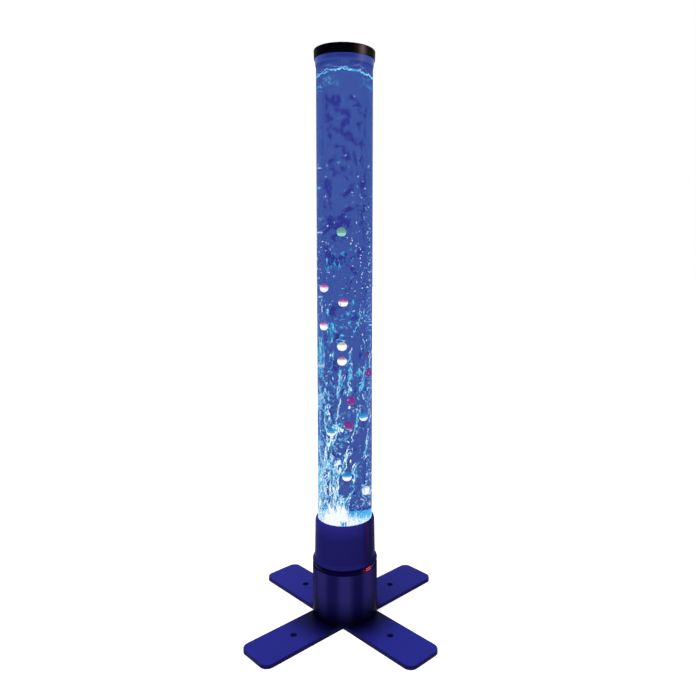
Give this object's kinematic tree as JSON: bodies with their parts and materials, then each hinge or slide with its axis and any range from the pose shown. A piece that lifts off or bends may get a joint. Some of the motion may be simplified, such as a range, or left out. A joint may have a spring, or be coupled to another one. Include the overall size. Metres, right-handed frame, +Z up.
{
  "type": "bubble tube floor lamp",
  "caption": "Floor-standing bubble tube lamp: clear water-filled tube with coloured floats, lift-off cap, round two-step base with lights and air pump, on crossed flat feet.",
  "frame": {"origin": "on the floor, below the tube's axis", "axes": "+Z up the tube, front towards -Y, with the indicator light at the front right; the feet lie on the diagonals between X and Y, and the power inlet faces +Y"},
  "size_m": [0.3312, 0.3312, 1.029],
  "materials": {
    "foot_paint": "satin powder coat, indigo",
    "screw_steel": "zinc plated",
    "base_plastic": "moulded, dark indigo",
    "housing_plastic": "semi-gloss moulded, indigo",
    "window_plastic": "glossy, nearly black blue",
    "lens_red": "clear red, lit",
    "seal_rubber": "matte",
    "clear_acrylic": "clear, polished",
    "cap_plastic": "satin black",
    "frosted_acrylic": "frosted, lit from below",
    "outlet_plastic": "clear, lit",
    "air_stone": "sintered, porous",
    "water": "clear water lit blue",
    "white_plastic": "moulded",
    "white_board": "solder mask",
    "led_lens": "clear, lit",
    "green_board": "solder mask",
    "black_component": "moulded",
    "button_plastic": "satin",
    "pump_plastic": "moulded",
    "core_steel": "laminated, lacquered",
    "coil_copper": "enamelled copper wire",
    "arm_aluminium": "punched",
    "diaphragm_rubber": "moulded",
    "valve_plastic": "clear",
    "clear_hose": "clear silicone",
    "lead_insulation": "satin",
    "float_green": "moulded, translucent",
    "float_lime": "moulded, translucent",
    "float_red": "moulded, translucent",
    "float_magenta": "moulded, translucent",
    "float_cyan": "moulded, translucent",
    "float_white": "moulded, translucent"
  },
  "bodies": {
    "base": {"foot_bar_lower": "foot_paint", "foot_bar_upper": "foot_paint", "bar_screws": "screw_steel", "base_plate": "base_plastic", "lower_housing": "housing_plastic", "tie_screws": "screw_steel", "window_ring": "window_plastic", "indicator_lens": "lens_red", "indicator_led": "lens_red", "tube_collar": "housing_plastic", "tube_seal": "seal_rubber", "acrylic_tube": "clear_acrylic", "rim_ring": "clear_acrylic", "floor_disc": "frosted_acrylic", "air_outlet_block": "outlet_plastic", "air_stone": "air_stone", "water_column": "water", "led_carrier": "white_plastic", "led_board": "white_board", "leds": "led_lens", "control_board": "green_board", "board_parts": "black_component", "dc_inlet": "black_component", "dc_inlet_nut": "screw_steel", "button_switch": "black_component", "pump_feet": "seal_rubber", "pump_frame": "pump_plastic", "pump_core": "core_steel", "pump_coil": "coil_copper", "pump_pivot_pin": "screw_steel", "pump_diaphragm": "diaphragm_rubber", "pump_head": "pump_plastic", "check_valve": "valve_plastic", "lower_hose": "clear_hose", "upper_hose": "clear_hose", "led_leads": "lead_insulation", "pump_leads": "lead_insulation", "indicator_leads": "lead_insulation"},
    "cap": {"top_cap": "cap_plastic"},
    "button": {"mode_button": "button_plastic"},
    "pump_swing": {"pump_arm": "arm_aluminium", "pump_magnet": "core_steel"},
    "valve": {"valve_disc": "diaphragm_rubber"},
    "float_green_top": {"float_green_top": "float_green"},
    "float_red_high": {"float_red_high": "float_red"},
    "float_lime": {"float_lime": "float_lime"},
    "float_red_mid": {"float_red_mid": "float_red"},
    "float_magenta_high": {"float_magenta_high": "float_magenta"},
    "float_magenta_low": {"float_magenta_low": "float_magenta"},
    "float_cyan_low": {"float_cyan_low": "float_cyan"},
    "float_cyan_left": {"float_cyan_left": "float_cyan"},
    "float_red_left": {"float_red_left": "float_red"},
    "float_red_edge": {"float_red_edge": "float_red"},
    "float_cyan_right": {"float_cyan_right": "float_cyan"},
    "float_magenta_edge": {"float_magenta_edge": "float_magenta"},
    "float_white": {"float_white": "float_white"},
    "float_red_back": {"float_red_back": "float_red"},
    "float_cyan_back": {"float_cyan_back": "float_cyan"},
    "float_green_back": {"float_green_back": "float_green"},
    "float_cyan_bottom": {"float_cyan_bottom": "float_cyan"}
  },
  "joints": [
    {"name": "cap_lift", "type": "slide", "parent": "base", "child": "cap", "axis": [0, 0, 1], "range_m": [0, 0.06]},
    {"name": "button_press", "type": "slide", "parent": "base", "child": "button", "axis": [0, -1, 0], "range_m": [0, 0.001], "stiffness_N_per_m": 300},
    {"name": "arm_swing", "type": "hinge", "parent": "base", "child": "pump_swing", "pos_m": [0.02397, -0.01, 0.0465], "axis": [0, 1, 0], "range_deg": [-1.5, 1.5], "stiffness_Nm_per_rad": 2, "deforming": ["pump_diaphragm"]},
    {"name": "valve_lift", "type": "slide", "parent": "base", "child": "valve", "axis": [0, 0, 1], "range_m": [0, 0.0015]},
    {"name": "green_top_rise", "type": "slide", "parent": "base", "child": "float_green_top", "axis": [0, 0, 1], "range_m": [-0.0525, 0.262]},
    {"name": "red_high_rise", "type": "slide", "parent": "base", "child": "float_red_high", "axis": [0, 0, 1], "range_m": [-0.0305, 0.0525]},
    {"name": "lime_rise", "type": "slide", "parent": "base", "child": "float_lime", "axis": [0, 0, 1], "range_m": [-0.0045, 0.0305]},
    {"name": "red_mid_rise", "type": "slide", "parent": "base", "child": "float_red_mid", "axis": [0, 0, 1], "range_m": [-0.027, 0.0045]},
    {"name": "magenta_high_rise", "type": "slide", "parent": "base", "child": "float_magenta_high", "axis": [0, 0, 1], "range_m": [-0.014, 0.027]},
    {"name": "magenta_low_rise", "type": "slide", "parent": "base", "child": "float_magenta_low", "axis": [0, 0, 1], "range_m": [-0.038, 0.014]},
    {"name": "cyan_low_rise", "type": "slide", "parent": "base", "child": "float_cyan_low", "axis": [0, 0, 1], "range_m": [-0.0185, 0.038]},
    {"name": "cyan_left_rise", "type": "slide", "parent": "base", "child": "float_cyan_left", "axis": [0, 0, 1], "range_m": [-0.0585, 0.12]},
    {"name": "red_left_rise", "type": "slide", "parent": "base", "child": "float_red_left", "axis": [0, 0, 1], "range_m": [-0.0255, 0.36]},
    {"name": "red_edge_rise", "type": "slide", "parent": "base", "child": "float_red_edge", "axis": [0, 0, 1], "range_m": [-0.3505, 0.0255]},
    {"name": "cyan_right_rise", "type": "slide", "parent": "base", "child": "float_cyan_right", "axis": [0, 0, 1], "range_m": [-0.061, 0.03]},
    {"name": "magenta_edge_rise", "type": "slide", "parent": "base", "child": "float_magenta_edge", "axis": [0, 0, 1], "range_m": [-0.03, 0.515]},
    {"name": "white_rise", "type": "slide", "parent": "base", "child": "float_white", "axis": [0, 0, 1], "range_m": [-0.0475, 0.061]},
    {"name": "red_back_rise", "type": "slide", "parent": "base", "child": "float_red_back", "axis": [0, 0, 1], "range_m": [-0.2895, 0.489]},
    {"name": "cyan_back_rise", "type": "slide", "parent": "base", "child": "float_cyan_back", "axis": [0, 0, 1], "range_m": [-0.1335, 0.645]},
    {"name": "green_back_rise", "type": "slide", "parent": "base", "child": "float_green_back", "axis": [0, 0, 1], "range_m": [-0.4835, 0.295]},
    {"name": "cyan_bottom_rise", "type": "slide", "parent": "base", "child": "float_cyan_bottom", "axis": [0, 0, 1], "range_m": [-0.02, 0.0185]}
  ]
}
